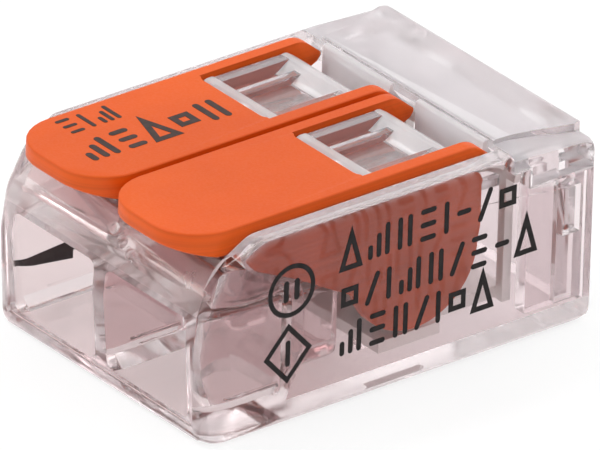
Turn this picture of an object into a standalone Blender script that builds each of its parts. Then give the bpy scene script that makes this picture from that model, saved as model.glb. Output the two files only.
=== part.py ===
"""Two-conductor lever splicing connector: clear housing with a snap-in rear cover, two orange
levers, a tinned copper current bar and two leaf springs that clamp the wires.

Frame: X across the two poles, Y from the wire entries (-Y) to the rear cover (+Y), Z up.
The origin is the bottom centre of the connector. Dimensions below are millimetres.
"""
import math

import bmesh
import bpy
from mathutils import Vector

MM = 0.001
OVERLAP = 0.2       # how far joined shapes run into each other
BEYOND = 12.0       # a height above everything, for cutters that are open upwards

# Overall size
BODY_WIDTH = 13.1
BODY_LENGTH = 18.6
TOTAL_HEIGHT = 8.3
HALF_WIDTH = BODY_WIDTH / 2
TIP_Y = -BODY_LENGTH / 2
REAR_Y = BODY_LENGTH / 2
NOSE_Y = -9.05

# Poles: everything that repeats for a wire is laid out about x = +/-POLE_X
POLE_PITCH = 5.6
POLE_X = POLE_PITCH / 2
POLES = (("left", -POLE_X), ("right", POLE_X))

# Clear mouldings
WALL_TOP = 7.9
CAVITY_HALF = 5.56
FLOOR_TOP = 0.65
EDGE_ROUND = 0.42
REAR_EDGE_ROUND = 0.2
NOSE_CORNER_ROUND = 1.0
NOSE_BLEND_Y = (-8.3, -6.2)
NOSE_STEPS = 8
FIT_GAP = 0.08
CURVE_STEPS = 8

# Wire entry and the guide behind it
ENTRY_HALF = 2.46
ENTRY_BOTTOM = 0.8
ENTRY_TOP = 5.0
ENTRY_END_Y = -4.9
GUIDE_HALF = 1.55
GUIDE_BOTTOM = 1.55
GUIDE_TOP = 4.35
GUIDE_START_Y = -3.4
GUIDE_END_Y = -1.85
GUIDE_SKIN = 0.5
PARTITION_HALF = 0.36

# Lever: the pivot is the centre of its bearing discs
PIVOT_Y = 1.4
PIVOT_Z = 4.6
DISC_RADIUS = 2.9
HUB_RADIUS = 2.4
LEVER_HALF = 2.66
WINDOW_HALF = 2.12
HUB_HALF = 1.72
CAM_FLOOR_HALF = 2.14
TONGUE_BOTTOM = 7.25
TIP_BOTTOM = 7.65
WINDOW_FRONT_Y = -0.7
WINDOW_EDGE_RADIUS = 4.2
TIP_RADIUS = 2.0
LEVER_EDGE = 0.28
LEVER_REAR_Y = 4.4
RAIL_END_Y = 5.25
RAIL_END_Z = 7.55
SWEEP_RADIUS = 5.05
LEVER_TRAVEL = math.radians(90)

# Housing under and between the levers
DECK_TOP = 7.13
DECK_BOTTOM = 6.55
ROOF_HALF = 2.02
ROOF_BOTTOM = 7.12
ROOF_TOP = 8.15
ROOF_RADIUS = 4.08
ROOF_ARC_DEG = (59, 28)
ROOF_SHELL = 0.8
RIM_END_Y = 0.1
RECESS_FLOOR = 7.65
RECESS_END_Y = 2.6
EDGE_TOP = 8.1
EDGE_WIDTH = 0.48
RIB_TOP = 7.95
RIB_X = (-0.94, -0.56)
SLOT_HALF = 0.76
SUPPORT_OFFSET = 1.0
SUPPORT_HALF = 0.25

# Rear cover
COVER_FRONT_Y = 5.4
COVER_TOP = 8.08
COVER_TOP_PLAN = ((5.15, 5.4), (5.2, 6.2), (5.35, 7.0), (5.65, 8.0), (5.85, 8.7), (5.75, 9.05), (5.4, 9.3))
COVER_SEAM_Z = 6.5
COVER_STEP_Z = 7.3
COVER_STEP_Y = 6.2
COVER_ROOF_BOTTOM = 7.0
COVER_WALL_Y = 8.3
LIP_Y = (5.2, 5.75)
LIP_Z = (6.4, 7.95)
CHEEK_FRONT_Y = 6.6
CHEEK_INNER = 4.9
LATCH_Y = (7.85, 8.45)
LATCH_Z = (4.1, 5.8)
LATCH_RIB = 0.35
TEST_SLOT_HALF = 0.8
TEST_SLOT_Z = (5.1, 5.9)

# Current bar
BAR_BOTTOM = 1.05
BAR_THICK = 0.5
BAR_TOP = BAR_BOTTOM + BAR_THICK
BAR_HALF = 5.3
BAR_Y = (-0.2, 2.7)
FRAME_Y = (6.1, 6.5)
FRAME_TOP = 6.7
FRAME_WINDOW_TOP = 6.25
FRAME_HALF = 1.95
FRAME_HEAD_HALF = 2.45

# Clamp spring: bow centre, strip thickness and leg
BOW_Y = -0.6
BOW_Z = 5.4
BOW_RADIUS = 0.9
BOW_START = 86
BOW_SPLIT = 16
STRIP_THICK = 0.3
STRIP_HALF = 1.5
LEG_LENGTH = 4.39
LEG_ANGLE = math.radians(-42.9)
LEG_TRAVEL = math.radians(35)
EAR_AT = 2.2
EAR_LENGTH = 0.6
EAR_HALF = 2.0


def clear_scene():
    for item in list(bpy.data.objects):
        bpy.data.objects.remove(item, do_unlink=True)


def make_material(name, colour, roughness, metallic=0.0):
    material = bpy.data.materials.new(name)
    material.use_nodes = True
    shader = material.node_tree.nodes["Principled BSDF"]
    shader.inputs["Base Color"].default_value = (*colour, 1.0)
    shader.inputs["Roughness"].default_value = roughness
    shader.inputs["Metallic"].default_value = metallic
    material.diffuse_color = (*colour, 1.0)
    return material


def link_bmesh(name, shape):
    bmesh.ops.recalc_face_normals(shape, faces=shape.faces)
    mesh = bpy.data.meshes.new(name)
    shape.to_mesh(mesh)
    shape.free()
    item = bpy.data.objects.new(name, mesh)
    bpy.context.scene.collection.objects.link(item)
    return item


def arc(centre, radius, start_deg, end_deg, steps=CURVE_STEPS):
    """Points on an arc in the plane of an outline, end points included."""
    points = []
    for step in range(steps + 1):
        angle = math.radians(start_deg + (end_deg - start_deg) * step / steps)
        points.append((centre[0] + radius * math.cos(angle), centre[1] + radius * math.sin(angle)))
    return points


def rounded(corners, steps=4):
    """Outline through (u, v, radius) corners, with each corner turned into an arc."""
    points = []
    count = len(corners)
    for index, (u, v, radius) in enumerate(corners):
        corner = Vector((u, v))
        if radius == 0:
            points.append((u, v))
            continue
        before = (Vector(corners[index - 1][:2]) - corner).normalized()
        after = (Vector(corners[(index + 1) % count][:2]) - corner).normalized()
        half_angle = before.angle(after) / 2
        centre = corner + (before + after).normalized() * radius / math.sin(half_angle)
        reach = radius / math.tan(half_angle)
        start = (corner + before * reach) - centre
        end = (corner + after * reach) - centre
        turn = start.angle_signed(end)
        for step in range(steps + 1):
            share = -turn * step / steps
            points.append((
                centre.x + start.x * math.cos(share) - start.y * math.sin(share),
                centre.y + start.x * math.sin(share) + start.y * math.cos(share),
            ))
    return points


def prism(name, outline, low, high, axis):
    """Closed solid: an outline pushed from low to high along axis 'x' (outline in y, z),
    'y' (outline in x, z) or 'z' (outline in x, y)."""
    place = {
        "x": lambda u, v, w: (w, u, v),
        "y": lambda u, v, w: (u, w, v),
        "z": lambda u, v, w: (u, v, w),
    }[axis]
    shape = bmesh.new()
    rings = []
    for level in (low, high):
        rings.append([shape.verts.new(Vector(place(u, v, level)) * MM) for u, v in outline])
    shape.faces.new(rings[0])
    shape.faces.new(list(reversed(rings[1])))
    for index in range(len(outline)):
        following = (index + 1) % len(outline)
        shape.faces.new((rings[0][index], rings[1][index], rings[1][following], rings[0][following]))
    return link_bmesh(name, shape)


def box(name, x_range, y_range, z_range):
    outline = [
        (x_range[0], y_range[0]),
        (x_range[1], y_range[0]),
        (x_range[1], y_range[1]),
        (x_range[0], y_range[1]),
    ]
    return prism(name, outline, z_range[0], z_range[1], "z")


def rounded_rectangle(low, high, radius):
    return rounded([
        (low[0], low[1], radius),
        (high[0], low[1], radius),
        (high[0], high[1], radius),
        (low[0], high[1], radius),
    ], steps=3)


def loft_y(name, sections):
    """Closed solid through rounded rectangles in x, z at given y stations:
    (y, (x_low, z_low), (x_high, z_high), radius)."""
    shape = bmesh.new()
    rings = []
    for y, low, high, radius in sections:
        outline = rounded_rectangle(low, high, radius)
        rings.append([shape.verts.new(Vector((u, y, v)) * MM) for u, v in outline])
    count = len(rings[0])
    for near, far in zip(rings, rings[1:]):
        for index in range(count):
            following = (index + 1) % count
            shape.faces.new((near[index], near[following], far[following], far[index]))
    shape.faces.new(rings[0])
    shape.faces.new(list(reversed(rings[-1])))
    return link_bmesh(name, shape)


def disc_x(name, centre, radius, x_range, steps=40):
    outline = arc(centre, radius, 0, 360 - 360 / steps, steps - 1)
    return prism(name, outline, x_range[0], x_range[1], "x")


def evaluated_mesh(item):
    graph = bpy.context.evaluated_depsgraph_get()
    return bpy.data.meshes.new_from_object(item.evaluated_get(graph))


def bake_modifiers(item):
    mesh = evaluated_mesh(item)
    item.modifiers.clear()
    item.data = mesh


def combine(target, tools, operation):
    """Join ('UNION'), cut ('DIFFERENCE') or keep the overlap ('INTERSECT') with each tool."""
    for tool in tools:
        modifier = target.modifiers.new("combine", "BOOLEAN")
        modifier.operation = operation
        modifier.solver = "EXACT"
        modifier.object = tool
        bake_modifiers(target)
        bpy.data.objects.remove(tool, do_unlink=True)
    return target


def round_edges(item, width, segments, angle_deg=30):
    modifier = item.modifiers.new("round", "BEVEL")
    modifier.width = width * MM
    modifier.segments = segments
    modifier.limit_method = "ANGLE"
    modifier.angle_limit = math.radians(angle_deg)
    bake_modifiers(item)
    return item


def finish(item, name, material):
    item.name = name
    item.data.name = name
    item.data.materials.clear()
    item.data.materials.append(material)
    item.data.shade_smooth()
    item.data.set_sharp_from_angle(angle=math.radians(30))
    return item


def body_outline():
    """Side view of the clear body: bowed nose, long top and a gently falling rear."""
    return rounded([
        (-8.85, 0.0, 0.5),
        (NOSE_Y, 3.9, 1.5),
        (-8.8, 5.6, 1.6),
        (-8.0, 7.0, 1.6),
        (-6.4, WALL_TOP, 1.2),
        (6.0, WALL_TOP, 2.0),
        (REAR_Y, 7.7, 0.6),
        (REAR_Y, 0.0, 0.6),
    ])


def round_inset(x, radius):
    """How far a rounding of the given radius pulls the outline in at x near a side face."""
    reach = max(0.0, abs(x) - (HALF_WIDTH - radius))
    return radius - math.sqrt(max(0.0, radius ** 2 - reach ** 2))


def body_form(name):
    """The side view across the full width, with its long edges and its nose corners rounded."""
    outline = [Vector(point) for point in body_outline()]
    count = len(outline)
    stations = []
    for step in range(NOSE_STEPS + 1):
        share = math.sin(math.pi / 2 * step / NOSE_STEPS)
        stations.append(HALF_WIDTH - NOSE_CORNER_ROUND * (1 - share))
    shape = bmesh.new()
    rings = []
    for x in [-station for station in reversed(stations)] + stations:
        ring = []
        for index, point in enumerate(outline):
            along = (outline[(index + 1) % count] - outline[index - 1]).normalized()
            inward = Vector((along.y, -along.x))
            radius_share = 1.0 if inward.x > -0.5 else REAR_EDGE_ROUND / EDGE_ROUND
            nose_share = (NOSE_BLEND_Y[1] - point.x) / (NOSE_BLEND_Y[1] - NOSE_BLEND_Y[0])
            nose_share = min(1.0, max(0.0, nose_share))
            place = point + inward * round_inset(x, EDGE_ROUND) * radius_share
            place.x += round_inset(x, NOSE_CORNER_ROUND) * nose_share
            ring.append(shape.verts.new(Vector((x, place.x, place.y)) * MM))
        rings.append(ring)
    for near, far in zip(rings, rings[1:]):
        for index in range(count):
            following = (index + 1) % count
            shape.faces.new((near[index], near[following], far[following], far[index]))
    shape.faces.new(rings[0])
    shape.faces.new(list(reversed(rings[-1])))
    return link_bmesh(name, shape)


def entry_cutter(pole_x):
    entry_low = (pole_x - ENTRY_HALF, ENTRY_BOTTOM)
    entry_high = (pole_x + ENTRY_HALF, ENTRY_TOP)
    guide_low = (pole_x - GUIDE_HALF, GUIDE_BOTTOM)
    guide_high = (pole_x + GUIDE_HALF, GUIDE_TOP)
    return loft_y("entry", [
        (NOSE_Y - 1.0, entry_low, entry_high, 0.35),
        (ENTRY_END_Y, entry_low, entry_high, 0.35),
        (GUIDE_START_Y, guide_low, guide_high, 0.6),
        (GUIDE_END_Y - 1.0, guide_low, guide_high, 0.6),
        (GUIDE_END_Y + 1.0, guide_low, guide_high, 0.6),
    ])


def entry_skin(pole_x):
    """Outside of the tapering guide that leads a stripped wire to its clamp."""
    skin = GUIDE_SKIN
    entry_low = (pole_x - ENTRY_HALF - skin, ENTRY_BOTTOM - skin)
    entry_high = (pole_x + ENTRY_HALF + skin, ENTRY_TOP + skin)
    guide_low = (pole_x - GUIDE_HALF - skin, GUIDE_BOTTOM - skin)
    guide_high = (pole_x + GUIDE_HALF + skin, GUIDE_TOP + skin)
    return loft_y("skin", [
        (NOSE_Y + 0.6, entry_low, entry_high, 0.6),
        (ENTRY_END_Y, entry_low, entry_high, 0.6),
        (GUIDE_START_Y, guide_low, guide_high, 0.8),
        (GUIDE_END_Y, guide_low, guide_high, 0.8),
    ])


def roof_tongue(pole_x):
    """Clear tongue that fills a lever's window: raised front rim, ribbed recess, and a rear that
    falls along the path of the lever's window edge."""
    pivot = (PIVOT_Y, PIVOT_Z)
    outside = arc(pivot, ROOF_RADIUS, ROOF_ARC_DEG[0], ROOF_ARC_DEG[1], 6)
    inside = arc(pivot, ROOF_RADIUS - ROOF_SHELL, ROOF_ARC_DEG[1] + 6, ROOF_ARC_DEG[0] - 6, 4)
    front = [
        (RIM_END_Y + 0.2, ROOF_BOTTOM, 0.2),
        (RIM_END_Y - 0.15, DECK_BOTTOM + 0.1, 0),
        (WINDOW_FRONT_Y + 0.12, DECK_BOTTOM + 0.1, 0),
        (WINDOW_FRONT_Y + 0.12, ROOF_TOP, 0.3),
        (RIM_END_Y, ROOF_TOP, 0.25),
        (RIM_END_Y + 0.15, RECESS_FLOOR, 0.15),
        (RECESS_END_Y, RECESS_FLOOR, 0.5),
        (RECESS_END_Y + 0.7, ROOF_TOP, 0.3),
    ]
    side = rounded(front + [(y, z, 0) for y, z in outside + inside])
    tongue = prism("tongue", side, pole_x - ROOF_HALF, pole_x + ROOF_HALF, "x")
    along = (RIM_END_Y - 0.3, RECESS_END_Y + 0.5)
    ribs = [box("rib", (pole_x + RIB_X[0], pole_x + RIB_X[1]), along, (RECESS_FLOOR - 0.3, RIB_TOP))]
    for side in (-1, 1):
        edge = sorted((pole_x + side * ROOF_HALF, pole_x + side * (ROOF_HALF - EDGE_WIDTH)))
        ribs.append(box("edge", edge, (along[0], along[1] + 0.2), (RECESS_FLOOR - 0.3, EDGE_TOP)))
    return combine(tongue, ribs, "UNION")


def cover_region(gap):
    """Space of the rear cover above its stepped seam, grown by a gap."""
    outline = [
        (COVER_FRONT_Y - gap, BEYOND),
        (COVER_FRONT_Y - gap, COVER_STEP_Z - gap),
        (COVER_STEP_Y - gap, COVER_STEP_Z - gap),
        (COVER_STEP_Y - gap, COVER_SEAM_Z - gap),
        (REAR_Y + 1, COVER_SEAM_Z - gap),
        (REAR_Y + 1, BEYOND),
    ]
    return prism("cover_region", outline, -BODY_WIDTH, BODY_WIDTH, "x")


def make_housing():
    housing = body_form("housing")
    inner_low = -CAVITY_HALF
    inner_high = CAVITY_HALF
    along = (NOSE_Y - 1, REAR_Y + 1)
    hollow = box("hollow", (inner_low, inner_high), along, (FLOOR_TOP, BEYOND))
    combine(housing, [hollow], "DIFFERENCE")

    front_plate = prism("front_plate", rounded([
        (-8.7, 0.1, 0),
        (NOSE_Y + 0.04, 3.9, 0.8),
        (-8.9, 5.3, 0.3),
        (-8.65, 6.0, 0.3),
        (-7.4, DECK_TOP, 0.5),
        (WINDOW_FRONT_Y + 0.3, DECK_TOP, 0),
        (WINDOW_FRONT_Y + 0.3, DECK_BOTTOM, 0),
        (-7.6, DECK_BOTTOM, 0.4),
        (-8.0, 5.9, 0.3),
        (-8.0, 0.1, 0),
    ]), inner_low - OVERLAP, inner_high + OVERLAP, "x")
    partition = prism("partition", [
        (-8.6, FLOOR_TOP - OVERLAP),
        (-8.6, 5.8),
        (-7.6, DECK_BOTTOM + 0.2),
        (GUIDE_END_Y, DECK_BOTTOM + 0.2),
        (GUIDE_END_Y, FLOOR_TOP - OVERLAP),
    ], -PARTITION_HALF, PARTITION_HALF, "x")
    skins = [entry_skin(pole_x) for _, pole_x in POLES]
    combine(housing, [front_plate, partition] + skins, "UNION")

    entries = [entry_cutter(pole_x) for _, pole_x in POLES]
    slot_outline = [
        (-6.75, BEYOND),
        (-6.75, 7.05),
        (-6.5, 6.15),
        (-4.35, 5.3),
        (-1.9, 3.6),
        (-1.9, 1.3),
        (REAR_Y + 1, 1.3),
        (REAR_Y + 1, BEYOND),
    ]
    slots = [prism("slot", slot_outline, -SLOT_HALF, SLOT_HALF, "x")]
    for side in (-1, 1):
        edges = sorted((side * (2 * POLE_X - SLOT_HALF), side * CAVITY_HALF))
        slots.append(prism("slot", slot_outline, edges[0], edges[1], "x"))
    combine(housing, entries + slots, "DIFFERENCE")

    combine(housing, [roof_tongue(pole_x) for _, pole_x in POLES], "UNION")
    supports = []
    for _, pole_x in POLES:
        for offset in (-SUPPORT_OFFSET, SUPPORT_OFFSET):
            supports.append(box(
                "support",
                (pole_x + offset - SUPPORT_HALF, pole_x + offset + SUPPORT_HALF),
                (BAR_Y[0] + 0.1, BAR_Y[1] - 0.1),
                (FLOOR_TOP - OVERLAP, BAR_BOTTOM - FIT_GAP),
            ))
    combine(housing, supports, "UNION")

    cuts = [cover_region(FIT_GAP)]
    for side in (-1, 1):
        groove = sorted((side * (CAVITY_HALF - OVERLAP), side * (CAVITY_HALF + LATCH_RIB + 0.05)))
        cuts.append(box(
            "groove",
            groove,
            (LATCH_Y[0] - 0.1, LATCH_Y[1] + 0.1),
            (FLOOR_TOP + 0.35, BEYOND),
        ))
        window = sorted((side * CAVITY_HALF, side * BODY_WIDTH))
        cuts.append(box(
            "window",
            window,
            (LATCH_Y[0] - 0.1, LATCH_Y[1] + 0.1),
            (LATCH_Z[0] - 0.15, LATCH_Z[1] + 0.15),
        ))
    return combine(housing, cuts, "DIFFERENCE")


def make_rear_cover():
    cover = body_form("cover")
    plateau = prism("plateau", rounded([
        (COVER_FRONT_Y, 7.2, 0),
        (REAR_Y - 0.03, 7.2, 0),
        (REAR_Y - 0.03, COVER_TOP, 0.4),
        (COVER_FRONT_Y, COVER_TOP, 0.15),
    ]), -HALF_WIDTH, HALF_WIDTH, "x")
    right_edge = list(COVER_TOP_PLAN)
    left_edge = [(-x, y) for x, y in reversed(COVER_TOP_PLAN)]
    plan = prism("plateau_plan", right_edge + left_edge, COVER_SEAM_Z, BEYOND, "z")
    combine(plateau, [plan], "INTERSECT")
    combine(cover, [plateau], "UNION")
    combine(cover, [cover_region(0)], "INTERSECT")
    inside = CAVITY_HALF - FIT_GAP
    room = box("room", (-CHEEK_INNER, CHEEK_INNER), (0, COVER_WALL_Y), (-1, COVER_ROOF_BOTTOM))
    front_room = box(
        "front_room",
        (-CAVITY_HALF, CAVITY_HALF),
        (0, CHEEK_FRONT_Y),
        (-1, COVER_ROOF_BOTTOM),
    )
    wall = box(
        "wall",
        (-inside, inside),
        (CHEEK_FRONT_Y, REAR_Y - 0.05),
        (FLOOR_TOP + FIT_GAP, COVER_SEAM_Z + 0.4),
    )
    additions = [wall]
    for side in (-1, 1):
        rib_edges = sorted((side * (inside - OVERLAP), side * (inside + LATCH_RIB)))
        additions.append(box("rib", rib_edges, LATCH_Y, (FLOOR_TOP + 0.5, COVER_SEAM_Z + 0.4)))
        nose_edges = sorted((side * (inside - OVERLAP), side * (HALF_WIDTH - 0.12)))
        additions.append(box("nose", nose_edges, (LATCH_Y[0] + 0.05, LATCH_Y[1] - 0.05), LATCH_Z))
    combine(cover, additions, "UNION")
    sweep = disc_x("sweep", (PIVOT_Y, PIVOT_Z), SWEEP_RADIUS, (-CAVITY_HALF, CAVITY_HALF), 64)
    slots = []
    for _, pole_x in POLES:
        slots.append(box(
            "test_slot",
            (pole_x - TEST_SLOT_HALF, pole_x + TEST_SLOT_HALF),
            (COVER_WALL_Y - 0.3, REAR_Y + 1),
            TEST_SLOT_Z,
        ))
    combine(cover, [room, front_room, sweep] + slots, "DIFFERENCE")
    lips = []
    for _, pole_x in POLES:
        lips.append(prism("lip", rounded([
            (LIP_Y[0], LIP_Z[0], 0.1),
            (LIP_Y[1], LIP_Z[0], 0.1),
            (LIP_Y[1], LIP_Z[1], 0),
            (LIP_Y[0], LIP_Z[1], 0.12),
        ]), pole_x - ROOF_HALF, pole_x + ROOF_HALF, "x"))
    return combine(cover, lips, "UNION")


def lever_side_outline():
    """Side view of a lever: tongue, falling skirt, bearing disc and hooked rear end."""
    lower = [
        (-4.3, 5.5, 0.5),
        (-6.25, 6.4, 0.3),
        (-6.5, TONGUE_BOTTOM, 0.1),
        (-7.7, TONGUE_BOTTOM, 0.8),
        (TIP_Y, TIP_BOTTOM, 0),
        (TIP_Y, TOTAL_HEIGHT, 0),
        (4.35, TOTAL_HEIGHT, 1.0),
        (RAIL_END_Y, RAIL_END_Z, 0.15),
        (RAIL_END_Y - 0.2, TONGUE_BOTTOM, 0.1),
        (LEVER_REAR_Y, 6.95, 0.3),
    ]
    disc = arc((PIVOT_Y, PIVOT_Z), DISC_RADIUS, 0, -165, 24)
    front = rounded([(-1.9, 4.0, 0)] + lower + [(LEVER_REAR_Y, 5.1, 0.3), (PIVOT_Y + DISC_RADIUS, 4.7, 0)])
    return front[1:-1] + disc


def spring_leg_pose(lift):
    """Start point and direction of the clamping leg when it is lifted by an angle."""
    angle = LEG_ANGLE + lift
    along = Vector((math.cos(angle), math.sin(angle)))
    outward = Vector((math.sin(angle), -math.cos(angle)))
    start = Vector((BOW_Y, BOW_Z)) + outward * BOW_RADIUS
    return start, along, outward


def cam_outline():
    """Track in a bearing disc for the ears of the clamping leg. Its outer side is the path that
    an ear takes in the turning lever; its inner side leaves the ear free to stay lifted."""
    clearance = math.hypot(EAR_LENGTH, STRIP_THICK) / 2 + 0.06
    pivot = Vector((PIVOT_Y, PIVOT_Z))
    steps = 10
    path = []
    for step in range(steps + 1):
        share = step / steps
        start, along, _ = spring_leg_pose(LEG_TRAVEL * share)
        offset = start + along * EAR_AT - pivot
        turn = LEVER_TRAVEL * share
        path.append(pivot + Vector((
            offset.x * math.cos(turn) - offset.y * math.sin(turn),
            offset.x * math.sin(turn) + offset.y * math.cos(turn),
        )))
    points = []
    last = len(path) - 1
    for index, point in enumerate(path):
        tangent = (path[min(index + 1, last)] - path[max(index - 1, 0)]).normalized()
        points.append(tuple(point + Vector((tangent.y, -tangent.x)) * clearance))
    first = path[0]
    end = path[-1]
    points.extend([
        (end.x + 0.1, end.y + clearance),
        (PIVOT_Y - 0.5, PIVOT_Z + 0.5),
        (first.x - clearance, first.y + 0.35),
        (first.x - clearance, first.y - 0.25),
    ])
    return points


def make_lever(pole_x):
    lever = prism("lever", lever_side_outline(), pole_x - LEVER_HALF, pole_x + LEVER_HALF, "x")
    plan = rounded([
        (pole_x - LEVER_HALF, TIP_Y, TIP_RADIUS),
        (pole_x + LEVER_HALF, TIP_Y, TIP_RADIUS),
        (pole_x + LEVER_HALF, REAR_Y, 0),
        (pole_x - LEVER_HALF, REAR_Y, 0),
    ], steps=8)
    combine(lever, [prism("plan", plan, -1.0, BEYOND, "z")], "INTERSECT")
    round_edges(lever, LEVER_EDGE, 3, 50)

    window_plan = rounded([
        (pole_x - WINDOW_HALF, WINDOW_FRONT_Y, 0.4),
        (pole_x + WINDOW_HALF, WINDOW_FRONT_Y, 0.4),
        (pole_x + WINDOW_HALF, REAR_Y, 0),
        (pole_x - WINDOW_HALF, REAR_Y, 0),
    ])
    window = prism("window", window_plan, -1.0, BEYOND, "z")
    between_rails = (pole_x - WINDOW_HALF, pole_x + WINDOW_HALF)
    under = box("under", between_rails, (TIP_Y - 1, REAR_Y), (-1, TONGUE_BOTTOM))
    relief = disc_x("relief", (PIVOT_Y, PIVOT_Z), WINDOW_EDGE_RADIUS, between_rails, 96)
    combine(lever, [window, under, relief], "DIFFERENCE")

    hubs = []
    tracks = []
    for side in (-1, 1):
        hub_edges = sorted((pole_x + side * HUB_HALF, pole_x + side * (WINDOW_HALF + 0.2)))
        hubs.append(disc_x("hub", (PIVOT_Y, PIVOT_Z), HUB_RADIUS, hub_edges))
        track_edges = sorted((pole_x + side * (HUB_HALF - 0.3), pole_x + side * CAM_FLOOR_HALF))
        tracks.append(prism("track", cam_outline(), track_edges[0], track_edges[1], "x"))
    combine(lever, hubs, "UNION")
    return combine(lever, tracks, "DIFFERENCE")


def strip_outline(centre_line, thickness):
    """Side view of a bent strip: its centre line offset to both sides."""
    points = [Vector(point) for point in centre_line]
    left = []
    right = []
    last = len(points) - 1
    for index, point in enumerate(points):
        tangent = (points[min(index + 1, last)] - points[max(index - 1, 0)]).normalized()
        normal = Vector((-tangent.y, tangent.x))
        left.append(tuple(point + normal * thickness / 2))
        right.append(tuple(point - normal * thickness / 2))
    return left + list(reversed(right))


def make_spring_root(pole_x):
    """Anchoring leg, hooked through the frame of the current bar, and most of the bow."""
    line = [
        (6.95, 6.55),
        (6.92, 6.15),
        (6.65, 5.93),
        (6.2, 5.9),
    ]
    leg_joins_at = 270 + math.degrees(LEG_ANGLE)
    line += arc((BOW_Y, BOW_Z), BOW_RADIUS, BOW_START, leg_joins_at - BOW_SPLIT, 12)
    outline = strip_outline(line, STRIP_THICK)
    return prism("spring", outline, pole_x - STRIP_HALF, pole_x + STRIP_HALF, "x")


def make_spring_leg(pole_x):
    """Clamping leg with an ear on each side that runs in the lever's cam tracks."""
    start, along, outward = spring_leg_pose(0)
    outline = strip_outline([tuple(start), tuple(start + along * LEG_LENGTH)], STRIP_THICK)
    leg = prism("leg", outline, pole_x - STRIP_HALF, pole_x + STRIP_HALF, "x")
    ear_start = start + along * (EAR_AT - EAR_LENGTH / 2)
    ear_end = start + along * (EAR_AT + EAR_LENGTH / 2)
    ear_outline = strip_outline([tuple(ear_start), tuple(ear_end)], STRIP_THICK)
    ears = prism("ears", ear_outline, pole_x - EAR_HALF, pole_x + EAR_HALF, "x")
    return combine(leg, [ears], "UNION")


def make_current_bar():
    bar = box("bar", (-BAR_HALF, BAR_HALF), BAR_Y, (BAR_BOTTOM, BAR_TOP))
    additions = []
    cuts = []
    for _, pole_x in POLES:
        additions.append(box(
            "lane",
            (pole_x - STRIP_HALF, pole_x + STRIP_HALF),
            (BAR_Y[1] - 0.3, FRAME_Y[1]),
            (BAR_BOTTOM, BAR_TOP),
        ))
        additions.append(box(
            "frame",
            (pole_x - FRAME_HALF, pole_x + FRAME_HALF),
            FRAME_Y,
            (BAR_BOTTOM, FRAME_TOP),
        ))
        additions.append(box(
            "head",
            (pole_x - FRAME_HEAD_HALF, pole_x + FRAME_HEAD_HALF),
            FRAME_Y,
            (FRAME_WINDOW_TOP, FRAME_TOP),
        ))
        cuts.append(box(
            "frame_window",
            (pole_x - STRIP_HALF - 0.05, pole_x + STRIP_HALF + 0.05),
            (FRAME_Y[0] - 0.5, FRAME_Y[1] + 0.5),
            (BAR_TOP, FRAME_WINDOW_TOP),
        ))
    combine(bar, additions, "UNION")
    return combine(bar, cuts, "DIFFERENCE")


def hang_on_axis(item, y, z):
    """Put an object's origin on a joint axis that runs along X at (y, z)."""
    origin = Vector((0, y, z)) * MM
    for vertex in item.data.vertices:
        vertex.co -= origin
    item.location = origin


def build():
    clear_scene()
    clear_plastic = make_material("clear_polycarbonate", (0.80, 0.74, 0.74), 0.1)
    orange = make_material("orange_polyamide", (0.85, 0.17, 0.02), 0.45)
    copper = make_material("tinned_copper", (0.72, 0.70, 0.66), 0.35, 1.0)
    steel = make_material("spring_steel", (0.60, 0.60, 0.61), 0.25, 1.0)

    finish(make_housing(), "housing", clear_plastic)
    finish(make_rear_cover(), "rear_cover", clear_plastic)
    finish(make_current_bar(), "current_bar", copper)
    for side, pole_x in POLES:
        lever = finish(make_lever(pole_x), "lever_" + side, orange)
        hang_on_axis(lever, PIVOT_Y, PIVOT_Z)
        finish(make_spring_root(pole_x), "clamp_spring_" + side, steel)
        leg = finish(make_spring_leg(pole_x), "clamp_leg_" + side, steel)
        hang_on_axis(leg, BOW_Y, BOW_Z)


build()
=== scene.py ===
"""Looks of the two-conductor lever wire connector: clear polycarbonate mouldings, matt orange
levers, tinned copper bar, spring strips and plain printed marks, on a pale studio floor.

Frame: X across the poles, Y from the wire entries (-Y) to the rear cover (+Y), Z up, in metres.
Sizes below are millimetres unless a name says otherwise.
"""

import math

import bmesh
import bpy
from mathutils import Matrix, Vector


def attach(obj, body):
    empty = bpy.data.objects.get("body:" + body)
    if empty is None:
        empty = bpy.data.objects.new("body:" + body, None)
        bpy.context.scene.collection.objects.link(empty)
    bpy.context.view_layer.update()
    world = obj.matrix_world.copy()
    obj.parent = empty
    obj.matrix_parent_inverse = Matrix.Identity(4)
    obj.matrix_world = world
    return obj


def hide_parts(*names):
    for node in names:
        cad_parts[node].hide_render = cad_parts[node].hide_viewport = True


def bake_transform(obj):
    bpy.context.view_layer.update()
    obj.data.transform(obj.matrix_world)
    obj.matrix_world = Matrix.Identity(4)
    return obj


MM = 0.001

# Places shared with the solid model
POLES = (("left", -2.8), ("right", 2.8))
HALF_WIDTH = 6.55
WALL_INSIDE = 5.56
LEVER_TOP = 8.3
BOW_CENTRE = (-0.6, 5.4)
BOW_RADIUS = 0.9
LEG_ANGLE_DEG = -42.9
LEG_LENGTH = 4.39
EAR_AT = 2.2
EAR_LENGTH = 0.6
EAR_HALF = 2.0
STRIP_HALF = 1.5
STRIP_THICK = 0.3

# Camera: a long lens seen from the right front, slightly rolled
CAMERA_AZIMUTH_DEG = 51.11
CAMERA_ELEVATION_DEG = 27.75
CAMERA_ROLL_DEG = 1.71
CAMERA_DISTANCE = 700.0
CAMERA_LENS = 1129.5
CAMERA_TARGET = (0.0, 0.0, 4.0)
CAMERA_OFFSET = (0.377, -0.043)

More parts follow.
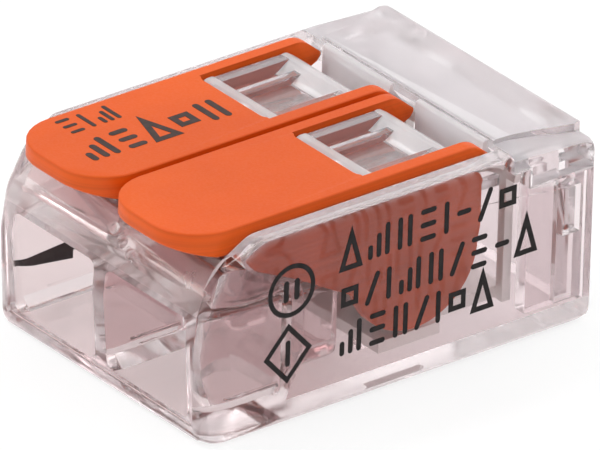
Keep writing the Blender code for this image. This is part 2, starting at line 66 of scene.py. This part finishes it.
# Small details joined on to the housing
ENTRY_HALF = 2.46
ENTRY_FLOOR = 0.8
FILLET = 0.45
FILLET_Y = (-8.4, -5.1)
RIB_Z = 1.36
RIB_Y = (-7.3, -5.0)
EJECTOR_MARKS = ((0.0, -8.33, 6.35), (0.75, -8.48, 6.12), (1.45, -8.6, 5.9))
EJECTOR_RADIUS = 0.26

# Limits of the faces that get another finish
WINDOW_HALF = 2.05
TONGUE_Y = (-0.75, 5.1)
TONGUE_SLOPE_Y = 3.0
TONGUE_TOP_Z = 7.2
TONGUE_REAR_Z = 6.3
ENTRY_END_Y = -5.0
BEAM_FRONT_Y = -7.45
BEAM_BOTTOM_Z = 5.25
RIM_Z = 7.95
RIM_Y = (-0.7, 0.35)
SLOPE_Z = 7.68
SLOPE_Y = (2.4, 3.45)
REAR_Y = (3.45, 5.15)
COVER_TOP_Z = 6.9
COVER_LIP_END_Y = 5.85

# Prints, in the plane of each surface. A row is its lower left corner and its marks, and a mark is
# its height, stroke and the gap after it. A bar is its length and stroke.
INK_THICK = 0.012
SIDE_ROWS = (
    ((-2.75, 5.75), ("peak", "steps", "pair", "rungs", "bar", "dash", "slant", "square")),
    ((-2.75, 3.85), ("square", "slant", "bar", "steps", "pair", "slant", "rungs", "dash", "peak")),
    ((-2.75, 2.1), ("steps", "rungs", "pair", "slant", "bar", "square", "peak")),
)
SIDE_MARK = (1.35, 0.22, 0.38)
RING_CENTRE = (-5.1, 5.6)
RING_RADIUS = 1.0
OUTLINE_STROKE = 0.2
RING_BAR_OFFSET = 0.25
RING_BAR = (0.9, 0.24)
DIAMOND = ((-6.2, 3.0), (-5.2, 1.9), (-4.2, 3.0), (-5.2, 4.1))
DIAMOND_CENTRE = (-5.2, 3.0)
DIAMOND_BAR = (1.1, 0.22)
GAUGE_WIRE = ((-8.1, 1.95), (-8.1, 2.2), (-5.45, 2.42), (-5.45, 1.6))
GAUGE_END = ((-4.6, 2.03), 1.9, 0.16)
LEVER_LONG_ROW = ((-7.95, -1.1), ("steps", "rungs", "peak", "square", "pair"))
LEVER_LONG_MARK = (1.5, 0.28, 0.42)
LEVER_SHORT_ROW = ((-7.3, 1.1), ("rungs", "bar", "steps"))
LEVER_SHORT_MARK = (1.15, 0.18, 0.35)

EDGE_SOFTENING = 0.07
BAR_SOFTENING = 0.05
LEVER_SOFTENING = 0.06
WHITE = (1.0, 1.0, 1.0)

# Studio: each light is its name, place and size in metres and power in watts
LIGHTS = (
    ("key", (-0.16, -0.10, 0.26), 0.12, 0.40),
    ("fill", (0.22, -0.05, 0.16), 0.2, 0.04),
    ("back", (0.02, 0.25, 0.2), 0.16, 0.34),
    ("sheen", (-0.20, 0.19, 0.16), 0.14, 0.03),
)
LIGHTS_AIM = (0.0, 0.0, 0.004)
LIGHT_BOUNCES = 32


# ---------------------------------------------------------------- materials

def new_material(name):
    material = bpy.data.materials.new(name)
    material.use_nodes = True
    return material, material.node_tree, material.node_tree.nodes["Principled BSDF"]


def add_noise(tree, scale, detail, stretch=(1.0, 1.0, 1.0)):
    """Noise in object space; stretch above 1 shortens the grain along that axis."""
    coordinates = tree.nodes.new("ShaderNodeTexCoord")
    mapping = tree.nodes.new("ShaderNodeMapping")
    mapping.inputs["Scale"].default_value = stretch
    noise = tree.nodes.new("ShaderNodeTexNoise")
    noise.inputs["Scale"].default_value = scale
    noise.inputs["Detail"].default_value = detail
    noise.inputs["Roughness"].default_value = 0.55
    tree.links.new(coordinates.outputs["Object"], mapping.inputs["Vector"])
    tree.links.new(mapping.outputs["Vector"], noise.inputs["Vector"])
    return noise.outputs["Fac"]


def ramp_colour(tree, value, low, high, start=0.3, end=0.7):
    """Colour from low to high as the value goes from start to end."""
    ramp = tree.nodes.new("ShaderNodeValToRGB")
    ramp.color_ramp.elements[0].position = start
    ramp.color_ramp.elements[0].color = (*low, 1.0)
    ramp.color_ramp.elements[1].position = end
    ramp.color_ramp.elements[1].color = (*high, 1.0)
    tree.links.new(value, ramp.inputs["Fac"])
    return ramp.outputs["Color"]


def map_value(tree, value, low, high):
    """Number from low to high over the middle of a noise."""
    spread = tree.nodes.new("ShaderNodeMapRange")
    spread.inputs["From Min"].default_value = 0.3
    spread.inputs["From Max"].default_value = 0.7
    spread.inputs["To Min"].default_value = low
    spread.inputs["To Max"].default_value = high
    tree.links.new(value, spread.inputs["Value"])
    return spread.outputs["Result"]


def add_bump(tree, shader, heights, strength, distance):
    """Bump from one or more (value, weight) pairs."""
    total = None
    for value, weight in heights:
        scaled = tree.nodes.new("ShaderNodeMath")
        scaled.operation = "MULTIPLY"
        scaled.inputs[1].default_value = weight
        tree.links.new(value, scaled.inputs[0])
        if total is None:
            total = scaled.outputs["Value"]
            continue
        summed = tree.nodes.new("ShaderNodeMath")
        summed.operation = "ADD"
        tree.links.new(total, summed.inputs[0])
        tree.links.new(scaled.outputs["Value"], summed.inputs[1])
        total = summed.outputs["Value"]
    bump = tree.nodes.new("ShaderNodeBump")
    bump.inputs["Strength"].default_value = strength
    bump.inputs["Distance"].default_value = distance * MM
    tree.links.new(total, bump.inputs["Height"])
    tree.links.new(bump.outputs["Normal"], shader.inputs["Normal"])


def multiply_colours(tree, first, second):
    mix = tree.nodes.new("ShaderNodeMix")
    mix.data_type = "RGBA"
    mix.blend_type = "MULTIPLY"
    mix.inputs["Factor"].default_value = 1.0
    tree.links.new(first, mix.inputs["A"])
    tree.links.new(second, mix.inputs["B"])
    return mix.outputs["Result"]


def along_body(tree, front_y, rear_y):
    """0 at front_y to 1 at rear_y, both in millimetres along the connector."""
    coordinates = tree.nodes.new("ShaderNodeTexCoord")
    split = tree.nodes.new("ShaderNodeSeparateXYZ")
    spread = tree.nodes.new("ShaderNodeMapRange")
    spread.inputs["From Min"].default_value = front_y * MM
    spread.inputs["From Max"].default_value = rear_y * MM
    tree.links.new(coordinates.outputs["Object"], split.inputs["Vector"])
    tree.links.new(split.outputs["Y"], spread.inputs["Value"])
    return spread.outputs["Result"]


def clear_plastic(name, tint_low, tint_high, haze_low, haze_high, clarity, wave, front_painted_shade=None):
    """Clear moulded polycarbonate: faint tint, slight flow waviness and a little haze. The front
    may carry painted shade and a painted reflection of the levers' red, darker and pinker forward."""
    material, tree, shader = new_material(name)
    flow = add_noise(tree, 260.0, 3.0, (1.0, 0.45, 1.0))
    haze = add_noise(tree, 900.0, 5.0)
    colour = ramp_colour(tree, flow, tint_low, tint_high)
    # Painted shade and painted reflection of the red levers: the tint darkens and turns pinker toward
    # the front.
    if front_painted_shade:
        place = along_body(tree, -6.0, 4.0)
        shade = ramp_colour(tree, place, front_painted_shade, WHITE, 0.0, 1.0)
        colour = multiply_colours(tree, colour, shade)
    tree.links.new(colour, shader.inputs["Base Color"])
    tree.links.new(map_value(tree, haze, haze_low, haze_high), shader.inputs["Roughness"])
    shader.inputs["Transmission Weight"].default_value = clarity
    shader.inputs["IOR"].default_value = 1.33
    add_bump(tree, shader, ((flow, 1.0),), wave, 0.05)
    return material


def orange_plastic():
    """Matt orange polyamide: fine spark-eroded grain, and draw lines along the skirts."""
    material, tree, shader = new_material("orange_polyamide_grain")
    cloud = add_noise(tree, 180.0, 3.0)
    grain = add_noise(tree, 9000.0, 6.0)
    colour = ramp_colour(tree, cloud, (0.70, 0.088, 0.001), (0.76, 0.104, 0.002))
    lines = add_noise(tree, 260.0, 4.0, (0.3, 0.12, 24.0))
    shade = ramp_colour(tree, lines, (0.87, 0.86, 0.86), WHITE, 0.38, 0.56)
    tree.links.new(multiply_colours(tree, colour, shade), shader.inputs["Base Color"])
    tree.links.new(map_value(tree, grain, 0.42, 0.58), shader.inputs["Roughness"])
    shader.inputs["IOR"].default_value = 1.45
    shader.inputs["Specular IOR Level"].default_value = 0.35
    shader.inputs["Subsurface Weight"].default_value = 0.08
    shader.inputs["Subsurface Scale"].default_value = 0.3 * MM
    add_bump(tree, shader, ((grain, 1.0), (cloud, 0.5)), 0.25, 0.02)
    return material


def metal(name, low, high, rough_low, rough_high, stretch, metallic):
    """Rolled strip: fine lines along the rolling direction and faint colour clouds."""
    material, tree, shader = new_material(name)
    lines = add_noise(tree, 700.0, 5.0, stretch)
    cloud = add_noise(tree, 240.0, 3.0)
    tree.links.new(ramp_colour(tree, cloud, low, high), shader.inputs["Base Color"])
    tree.links.new(map_value(tree, lines, rough_low, rough_high), shader.inputs["Roughness"])
    shader.inputs["Metallic"].default_value = metallic
    add_bump(tree, shader, ((lines, 1.0),), 0.2, 0.01)
    return material


def ink(name, low, high):
    """Printing ink: a faint speckle and hardly any gloss."""
    material, tree, shader = new_material(name)
    speckle = add_noise(tree, 3500.0, 5.0)
    tree.links.new(ramp_colour(tree, speckle, low, high), shader.inputs["Base Color"])
    tree.links.new(map_value(tree, speckle, 0.5, 0.75), shader.inputs["Roughness"])
    shader.inputs["Specular IOR Level"].default_value = 0.08
    add_bump(tree, shader, ((speckle, 1.0),), 0.2, 0.01)
    return material


# ---------------------------------------------------------------- mesh helpers

def new_piece(name, shape, material):
    """Object in the scene from a bmesh, which is freed."""
    mesh = bpy.data.meshes.new(name)
    shape.to_mesh(mesh)
    shape.free()
    piece = bpy.data.objects.new(name, mesh)
    bpy.context.scene.collection.objects.link(piece)
    if material:
        mesh.materials.append(material)
    return piece


def apply_modifiers(piece):
    graph = bpy.context.evaluated_depsgraph_get()
    mesh = bpy.data.meshes.new_from_object(piece.evaluated_get(graph))
    piece.modifiers.clear()
    piece.data = mesh


def split_faces(piece):
    """Cut faces of more than four corners into triangles."""
    split = piece.modifiers.new("split", "TRIANGULATE")
    split.min_vertices = 5
    apply_modifiers(piece)


def soften(piece, width, angle_deg=28.0):
    """Small moulding radius on every real edge."""
    bevel = piece.modifiers.new("bevel", "BEVEL")
    bevel.width = width * MM
    bevel.segments = 2
    bevel.limit_method = "ANGLE"
    bevel.angle_limit = math.radians(angle_deg)
    bevel.use_clamp_overlap = True
    bevel.miter_outer = "MITER_ARC"
    split_faces(piece)


def smooth_normals(piece):
    """Smooth shading whose normals keep flat faces flat."""
    split_faces(piece)
    piece.data.shade_smooth()
    piece.data.set_sharp_from_angle(angle=math.radians(42))
    weighted = piece.modifiers.new("weighted", "WEIGHTED_NORMAL")
    weighted.keep_sharp = True
    weighted.weight = 80
    apply_modifiers(piece)


def join_solids(piece, solids):
    """Make small closed shapes one body with the piece."""
    for solid in solids:
        union = piece.modifiers.new("union", "BOOLEAN")
        union.operation = "UNION"
        union.solver = "EXACT"
        union.object = solid
        apply_modifiers(piece)
        bpy.data.objects.remove(solid, do_unlink=True)


def add_finish(piece, material, belongs):
    """Another surface finish on the faces that belongs(centre, normal) picks, in millimetres."""
    piece.data.materials.append(material)
    index = len(piece.data.materials) - 1
    for face in piece.data.polygons:
        if belongs(face.center / MM, face.normal):
            face.material_index = index


def copy_node(node, name, material, width, details=()):
    """A softened copy of a CAD node that stands for it, with small details joined on."""
    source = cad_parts[node]
    shape = bmesh.new()
    shape.from_mesh(source.data)
    bmesh.ops.remove_doubles(shape, verts=shape.verts, dist=0.002 * MM)
    bmesh.ops.dissolve_limit(
        shape,
        angle_limit=math.radians(1.0),
        verts=shape.verts,
        edges=shape.edges,
    )
    piece = new_piece(name, shape, material)
    soften(piece, width)
    join_solids(piece, details)
    smooth_normals(piece)
    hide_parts(node)
    return piece


def side_strip(name, centre_line, half_widths, thickness, x_centre, material):
    """Bent sheet-metal strip along a centre line in Y, Z with its own half width at each point."""
    shape = bmesh.new()
    rings = []
    last = len(centre_line) - 1
    for index, point in enumerate(centre_line):
        ahead = Vector(centre_line[min(index + 1, last)])
        behind = Vector(centre_line[max(index - 1, 0)])
        tangent = (ahead - behind).normalized()
        normal = Vector((-tangent.y, tangent.x)) * thickness / 2
        half = half_widths[index]
        ring = []
        for x_side, face in ((-1, 1), (1, 1), (1, -1), (-1, -1)):
            place = Vector(point) + normal * face
            ring.append(shape.verts.new(Vector((x_centre + x_side * half, place.x, place.y)) * MM))
        rings.append(ring)
    for near, far in zip(rings, rings[1:]):
        for index in range(4):
            following = (index + 1) % 4
            shape.faces.new((near[index], near[following], far[following], far[index]))
    shape.faces.new(rings[0])
    shape.faces.new(list(reversed(rings[-1])))
    bmesh.ops.recalc_face_normals(shape, faces=shape.faces)
    return new_piece(name, shape, material)


def arc_points(centre, radius, start_deg, end_deg, steps):
    """Points along an arc, both ends included."""
    points = []
    for step in range(steps + 1):
        angle = math.radians(start_deg + (end_deg - start_deg) * step / steps)
        points.append((centre[0] + radius * math.cos(angle), centre[1] + radius * math.sin(angle)))
    return points


# ---------------------------------------------------------------- pieces

def make_spring(side, x_centre, material):
    """One continuous strip: hooked anchoring leg, bow and clamping leg with its two ears."""
    joins_at = 270 + LEG_ANGLE_DEG
    line = [(6.95, 6.6), (6.93, 6.3), (6.86, 6.08), (6.7, 5.95), (6.45, 5.9), (6.1, 5.9)]
    for step in range(1, 12):
        share = step / 12
        line.append((6.1 + (-0.54 - 6.1) * share, 5.9 + 0.4 * share))
    line += arc_points(BOW_CENTRE, BOW_RADIUS, 86, joins_at, 20)
    widths = [STRIP_HALF] * len(line)
    angle = math.radians(LEG_ANGLE_DEG)
    along = Vector((math.cos(angle), math.sin(angle)))
    start = Vector(line[-1])
    stations = [0.4, 0.9, 1.4, EAR_AT - EAR_LENGTH / 2 - 0.04, EAR_AT - EAR_LENGTH / 2]
    stations += [EAR_AT + EAR_LENGTH / 2, EAR_AT + EAR_LENGTH / 2 + 0.04]
    stations += [3.0, 3.5, 4.0, LEG_LENGTH]
    for station in stations:
        line.append(tuple(start + along * station))
        on_ear = abs(station - EAR_AT) < EAR_LENGTH / 2 + 0.01
        widths.append(EAR_HALF if on_ear else STRIP_HALF)
    piece = side_strip("spring_strip_" + side, line, widths, STRIP_THICK, x_centre, material)
    soften(piece, 0.03, 40.0)
    smooth_normals(piece)
    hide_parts("clamp_spring_" + side, "clamp_leg_" + side)
    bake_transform(piece)


def flat_outline(shape, outline, place):
    """One flat patch of ink: the outline's two faces and its rim. place turns (u, v, w) to a point."""
    rings = []
    for level in (0.0, INK_THICK):
        rings.append([shape.verts.new(place(u, v, level)) for u, v in outline])
    shape.faces.new(list(reversed(rings[0])))
    shape.faces.new(rings[1])
    count = len(outline)
    for index in range(count):
        following = (index + 1) % count
        shape.faces.new((rings[0][index], rings[0][following], rings[1][following], rings[1][index]))


def bar_outline(centre, length, height, angle_deg=0.0):
    """Bar with rounded ends."""
    radius = height / 2
    reach = max(length / 2 - radius, 0.0)
    points = arc_points((reach, 0.0), radius, -90, 90, 6)
    points += arc_points((-reach, 0.0), radius, 90, 270, 6)
    turn = math.radians(angle_deg)
    turned = []
    for u, v in points:
        turned.append((
            centre[0] + u * math.cos(turn) - v * math.sin(turn),
            centre[1] + u * math.sin(turn) + v * math.cos(turn),
        ))
    return turned


def ring_patches(centre, radius, stroke):
    """Ring as short arcs set end to end."""
    parts = 24
    patches = []
    for part in range(parts):
        first = 360 / parts * part
        outer = arc_points(centre, radius + stroke / 2, first, first + 360 / parts, 2)
        inner = arc_points(centre, radius - stroke / 2, first + 360 / parts, first, 2)
        patches.append(outer + inner)
    return patches


def printed(name, patches, place, material, body):
    """Ink patches as one piece that rides on a body."""
    shape = bmesh.new()
    for outline in patches:
        flat_outline(shape, outline, place)
    bmesh.ops.recalc_face_normals(shape, faces=shape.faces)
    piece = new_piece(name, shape, material)
    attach(piece, body)


def closed_stroke(corners, stroke):
    """Mitred strokes along the sides of a closed shape."""
    points = [Vector(corner) for corner in corners]
    count = len(points)
    inside = []
    outside = []
    for index, point in enumerate(points):
        ahead = (points[(index + 1) % count] - point).normalized()
        behind = (points[index - 1] - point).normalized()
        half_angle = ahead.angle(behind) / 2
        mitre = (ahead + behind).normalized() * stroke / 2 / math.sin(half_angle)
        inside.append(tuple(point + mitre))
        outside.append(tuple(point - mitre))
    patches = []
    for index in range(count):
        following = (index + 1) % count
        patches.append([outside[index], outside[following], inside[following], inside[index]])
    return patches


def square_patches(centre, size, stroke):
    half = size / 2
    corners = []
    for u, v in ((-half, -half), (half, -half), (half, half), (-half, half)):
        corners.append((centre[0] + u, centre[1] + v))
    return closed_stroke(corners, stroke)


def glyph(kind, left, base, height, stroke):
    """One abstract mark in a cell at (left, base), and the cell's width. No mark is a letter."""
    middle = base + height / 2
    if kind == "bar":
        return [bar_outline((left + stroke / 2, middle), height, stroke, 90)], stroke
    if kind == "pair":
        patches = []
        for step in (0, 1):
            u = left + stroke / 2 + step * 2.1 * stroke
            patches.append(bar_outline((u, middle), height, stroke, 90))
        return patches, 3.1 * stroke
    if kind == "slant":
        width = height * 0.42
        return [bar_outline((left + width / 2, middle), height * 1.05, stroke, 68)], width
    if kind == "dash":
        width = height * 0.5
        return [bar_outline((left + width / 2, middle), width, stroke)], width
    if kind == "steps":
        width = max(height * 0.66, stroke * 4.6)
        patches = []
        for step, share in enumerate((0.45, 0.75, 1.0)):
            u = left + stroke / 2 + step * (width - stroke) / 2
            patches.append(bar_outline((u, base + height * share / 2), height * share, stroke, 90))
        return patches, width
    if kind == "rungs":
        width = height * 0.55
        patches = []
        for step in (0, 1, 2):
            v = base + stroke / 2 + step * (height - stroke) / 2
            patches.append(bar_outline((left + width / 2, v), width, stroke))
        return patches, width
    if kind == "square":
        width = height * 0.6
        centre = (left + width / 2, base + width / 2 + height * 0.2)
        return square_patches(centre, width - stroke, stroke), width
    width = height * 0.62
    corners = [(left, base), (left + width, base), (left + width / 2, base + height)]
    return closed_stroke(corners, stroke), width


def glyph_row(start, kinds, height, stroke, gap):
    """Row of abstract marks from the start point at its lower left."""
    patches = []
    left = start[0]
    for kind in kinds:
        marks, width = glyph(kind, left, start[1], height, stroke)
        patches += marks
        left += width + gap
    return patches


def side_marks():
    """Generic marks of the side wall: three rows of bars and shapes, a ring and a diamond."""
    patches = []
    for start, kinds in SIDE_ROWS:
        patches += glyph_row(start, kinds, *SIDE_MARK)
    patches += ring_patches(RING_CENTRE, RING_RADIUS, OUTLINE_STROKE)
    for offset in (-RING_BAR_OFFSET, RING_BAR_OFFSET):
        patches.append(bar_outline((RING_CENTRE[0] + offset, RING_CENTRE[1]), *RING_BAR, 90))
    patches += closed_stroke(DIAMOND, OUTLINE_STROKE)
    patches.append(bar_outline(DIAMOND_CENTRE, *DIAMOND_BAR, 90))
    return patches


def gauge_marks():
    """Stripping pictogram: an insulated wire that widens to its cut, and a bare end."""
    return [GAUGE_WIRE, bar_outline(*GAUGE_END)]


def lever_marks():
    """Plain marks on the left lever: a long and a short row of bars along it."""
    patches = glyph_row(*LEVER_LONG_ROW, *LEVER_LONG_MARK)
    patches += glyph_row(*LEVER_SHORT_ROW, *LEVER_SHORT_MARK)
    return patches


def make_prism(outline, front_y, rear_y):
    """Closed solid along the body with the same (x, z) outline from front to rear."""
    shape = bmesh.new()
    rings = []
    for y in (front_y, rear_y):
        rings.append([shape.verts.new(Vector((x, y, z)) * MM) for x, z in outline])
    shape.faces.new(rings[0])
    shape.faces.new(list(reversed(rings[1])))
    count = len(outline)
    for index in range(count):
        following = (index + 1) % count
        shape.faces.new((rings[0][index], rings[1][index], rings[1][following], rings[0][following]))
    bmesh.ops.recalc_face_normals(shape, faces=shape.faces)
    return new_piece("detail", shape, None)


def make_dome(centre, radius):
    """Ball that shows as a small dome where it is joined on to a face."""
    shape = bmesh.new()
    bmesh.ops.create_uvsphere(shape, u_segments=20, v_segments=12, radius=radius * MM)
    bmesh.ops.translate(shape, verts=shape.verts, vec=Vector(centre) * MM)
    return new_piece("detail", shape, None)


def entry_details():
    """Fillets along the floor of each entry, fine ribs on its walls and ejector marks in front."""
    details = []
    for _, x_centre in POLES:
        for side in (-1, 1):
            wall = x_centre + side * ENTRY_HALF
            fillet = [
                (wall + side * 0.15, ENTRY_FLOOR - 0.15),
                (wall - side * FILLET, ENTRY_FLOOR - 0.15),
                (wall - side * FILLET, ENTRY_FLOOR),
                (wall, ENTRY_FLOOR + FILLET),
                (wall + side * 0.15, ENTRY_FLOOR + FILLET),
            ]
            details.append(make_prism(fillet, *FILLET_Y))
            rib = [
                (wall + side * 0.1, RIB_Z - 0.06),
                (wall - side * 0.07, RIB_Z - 0.04),
                (wall - side * 0.07, RIB_Z + 0.04),
                (wall + side * 0.1, RIB_Z + 0.06),
            ]
            details.append(make_prism(rib, *RIB_Y))
    for centre in EJECTOR_MARKS:
        details.append(make_dome(centre, EJECTOR_RADIUS))
    return details


def in_window(centre):
    """Whether a place is within the width of a lever's window."""
    return abs(abs(centre.x) - POLES[1][1]) < WINDOW_HALF


def satin_part(centre, normal):
    """Faces of the housing with a fine grain: the window tongues and the entry fillets."""
    lowest = TONGUE_TOP_Z if centre.y < TONGUE_SLOPE_Y else TONGUE_REAR_Z
    on_tongue = in_window(centre) and TONGUE_Y[0] < centre.y < TONGUE_Y[1] and centre.z > lowest
    in_entry = centre.z < ENTRY_FLOOR + FILLET and centre.y < ENTRY_END_Y
    return on_tongue or (in_entry and 0.3 < abs(normal.x) < 0.95)


def satin_beam(centre, normal):
    """Sloping front of the beam above the wire entries, with its ejector marks."""
    on_front = centre.y < BEAM_FRONT_Y and centre.z > BEAM_BOTTOM_Z
    return abs(centre.x) < WALL_INSIDE and on_front and normal.y < 0.3 and normal.z > -0.2


def whitened_part(centre, normal):
    """Faces of the housing with a coarser grain: the tongues' front rims, slopes and rears."""
    on_rim = centre.z > RIM_Z and RIM_Y[0] < centre.y < RIM_Y[1]
    on_slope = centre.z > SLOPE_Z and SLOPE_Y[0] < centre.y < SLOPE_Y[1] and abs(normal.z) > 0.3
    on_rear = centre.z > TONGUE_REAR_Z and REAR_Y[0] < centre.y < REAR_Y[1]
    return in_window(centre) and (on_rim or on_slope or on_rear)


def frosted_cover(centre, normal):
    """Flat top of the rear cover."""
    return centre.z > COVER_TOP_Z and abs(normal.z) > 0.6


def cover_lip(centre, normal):
    """Upright lip of the rear cover behind each window."""
    return centre.z > TONGUE_REAR_Z and centre.y < COVER_LIP_END_Y and in_window(centre)


# ---------------------------------------------------------------- build

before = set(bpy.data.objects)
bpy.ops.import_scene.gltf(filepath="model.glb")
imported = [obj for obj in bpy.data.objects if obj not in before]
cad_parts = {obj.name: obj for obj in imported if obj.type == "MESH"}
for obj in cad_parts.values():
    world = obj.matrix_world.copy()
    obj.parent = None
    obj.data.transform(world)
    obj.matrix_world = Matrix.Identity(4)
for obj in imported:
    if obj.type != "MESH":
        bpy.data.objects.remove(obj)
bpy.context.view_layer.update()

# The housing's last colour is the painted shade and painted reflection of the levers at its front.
housing_plastic = clear_plastic(
    "clear_housing", (0.88, 0.80, 0.81), (0.92, 0.845, 0.855), 0.05, 0.10, 0.98, 0.05,
    (0.875, 0.81, 0.805))
cover_plastic = clear_plastic(
    "clear_cover", (0.87, 0.81, 0.82), (0.91, 0.85, 0.86), 0.06, 0.12, 0.96, 0.03)
frosted_plastic = clear_plastic(
    "frosted_top", (0.80, 0.765, 0.785), (0.86, 0.825, 0.84), 0.30, 0.42, 0.72, 0.04)
white_plastic = clear_plastic(
    "whitened_tongue", (0.93, 0.90, 0.915), (0.97, 0.945, 0.955), 0.28, 0.40, 0.60, 0.04)
tongue_plastic = clear_plastic(
    "satin_tongue", (0.97, 0.91, 0.92), (1.0, 0.94, 0.95), 0.06, 0.13, 0.88, 0.03)
orange = orange_plastic()
beam_plastic = clear_plastic(
    "satin_beam", (0.90, 0.79, 0.78), (0.95, 0.84, 0.83), 0.18, 0.28, 0.86, 0.05)
copper = metal(
    "tinned_copper_rolled", (0.84, 0.82, 0.80), (0.92, 0.90, 0.88), 0.34, 0.50, (1, 8, 1), 0.55)
steel = metal(
    "spring_steel_rolled", (0.70, 0.70, 0.71), (0.80, 0.80, 0.81), 0.20, 0.36, (8, 1, 1), 0.85)
black_ink = ink("black_ink", (0.012, 0.011, 0.011), (0.035, 0.03, 0.03))
grey_ink = ink("grey_ink", (0.045, 0.035, 0.032), (0.085, 0.06, 0.055))

housing = copy_node("housing", "housing_clear", housing_plastic, EDGE_SOFTENING, entry_details())
add_finish(housing, tongue_plastic, satin_part)
add_finish(housing, white_plastic, whitened_part)
add_finish(housing, beam_plastic, satin_beam)
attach(housing, "base")

cover = copy_node("rear_cover", "rear_cover_clear", cover_plastic, EDGE_SOFTENING)
add_finish(cover, frosted_plastic, frosted_cover)
add_finish(cover, white_plastic, cover_lip)
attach(cover, "base")

bar = copy_node("current_bar", "current_bar_tinned", copper, BAR_SOFTENING)
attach(bar, "base")

for side, x_centre in POLES:
    lever = copy_node("lever_" + side, "lever_orange_" + side, orange, LEVER_SOFTENING)
    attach(lever, "lever_" + side)
    make_spring(side, x_centre, steel)

printed(
    "side_print_right",
    side_marks(),
    lambda u, v, w: Vector((HALF_WIDTH + w, u, v)) * MM,
    black_ink,
    "base",
)
printed(
    "side_print_left",
    gauge_marks(),
    lambda u, v, w: Vector((-HALF_WIDTH - w, u, v)) * MM,
    black_ink,
    "base",
)
printed(
    "lever_print_left",
    lever_marks(),
    lambda u, v, w: Vector((POLES[0][1] - v, u, LEVER_TOP + w)) * MM,
    grey_ink,
    "lever_left",
)


# ---------------------------------------------------------------- studio

def add_area(name, location, size, power):
    """Round soft light aimed at the connector."""
    light = bpy.data.lights.new(name, "AREA")
    light.shape = "DISK"
    light.size = size
    light.energy = power
    item = bpy.data.objects.new(name, light)
    item.location = location
    aim = Vector(LIGHTS_AIM) - Vector(location)
    item.rotation_euler = aim.to_track_quat("-Z", "Y").to_euler()
    bpy.context.scene.collection.objects.link(item)


def make_floor():
    """Plain pale paper just under the connector, large enough to pass out of view."""
    material, tree, shader = new_material("studio_floor")
    paper = add_noise(tree, 60.0, 3.0)
    colour = ramp_colour(tree, paper, (0.20, 0.20, 0.20), (0.24, 0.24, 0.24))
    tree.links.new(colour, shader.inputs["Base Color"])
    shader.inputs["Roughness"].default_value = 0.9
    shader.inputs["Emission Color"].default_value = (1.0, 1.0, 1.0, 1.0)
    shader.inputs["Emission Strength"].default_value = 0.78
    shape = bmesh.new()
    bmesh.ops.create_grid(shape, x_segments=1, y_segments=1, size=2.0)
    floor = new_piece("floor", shape, material)
    floor.location.z = -0.02 * MM


def make_world():
    """Even studio surroundings, seen as plain white where the floor ends."""
    world = bpy.data.worlds.new("studio")
    world.use_nodes = True
    tree = world.node_tree
    surroundings = tree.nodes["Background"]
    surroundings.inputs["Color"].default_value = (1.0, 1.0, 1.0, 1.0)
    surroundings.inputs["Strength"].default_value = 0.74
    backdrop = tree.nodes.new("ShaderNodeBackground")
    backdrop.inputs["Color"].default_value = (1.0, 1.0, 1.0, 1.0)
    backdrop.inputs["Strength"].default_value = 1.0
    path = tree.nodes.new("ShaderNodeLightPath")
    choice = tree.nodes.new("ShaderNodeMixShader")
    tree.links.new(path.outputs["Is Camera Ray"], choice.inputs["Fac"])
    tree.links.new(surroundings.outputs["Background"], choice.inputs[1])
    tree.links.new(backdrop.outputs["Background"], choice.inputs[2])
    tree.links.new(choice.outputs["Shader"], tree.nodes["World Output"].inputs["Surface"])
    bpy.context.scene.world = world


def make_camera():
    """Camera at the distance and direction named at the top, looking at the connector."""
    azimuth = math.radians(CAMERA_AZIMUTH_DEG)
    elevation = math.radians(CAMERA_ELEVATION_DEG)
    back = Vector((
        math.sin(azimuth) * math.cos(elevation),
        -math.cos(azimuth) * math.cos(elevation),
        math.sin(elevation),
    ))
    rotation = (-back).to_track_quat("-Z", "Y").to_matrix()
    rotation = rotation @ Matrix.Rotation(math.radians(CAMERA_ROLL_DEG), 3, "Z")
    offset = rotation @ Vector((CAMERA_OFFSET[0], CAMERA_OFFSET[1], 0.0))
    camera = bpy.data.cameras.new("camera")
    camera.sensor_width = 36.0
    camera.lens = CAMERA_LENS
    camera.clip_start = 0.01
    camera.clip_end = 10.0
    item = bpy.data.objects.new("camera", camera)
    location = (Vector(CAMERA_TARGET) + offset + back * CAMERA_DISTANCE) * MM
    item.matrix_world = Matrix.Translation(location) @ rotation.to_4x4()
    bpy.context.scene.collection.objects.link(item)
    bpy.context.scene.camera = item


make_floor()
make_world()
for light_name, light_place, light_size, light_power in LIGHTS:
    add_area(light_name, light_place, light_size, light_power)
make_camera()
bpy.context.scene.view_settings.view_transform = "Standard"
bpy.context.scene.cycles.max_bounces = LIGHT_BOUNCES
bpy.context.scene.cycles.transmission_bounces = LIGHT_BOUNCES
bpy.context.scene.cycles.glossy_bounces = LIGHT_BOUNCES
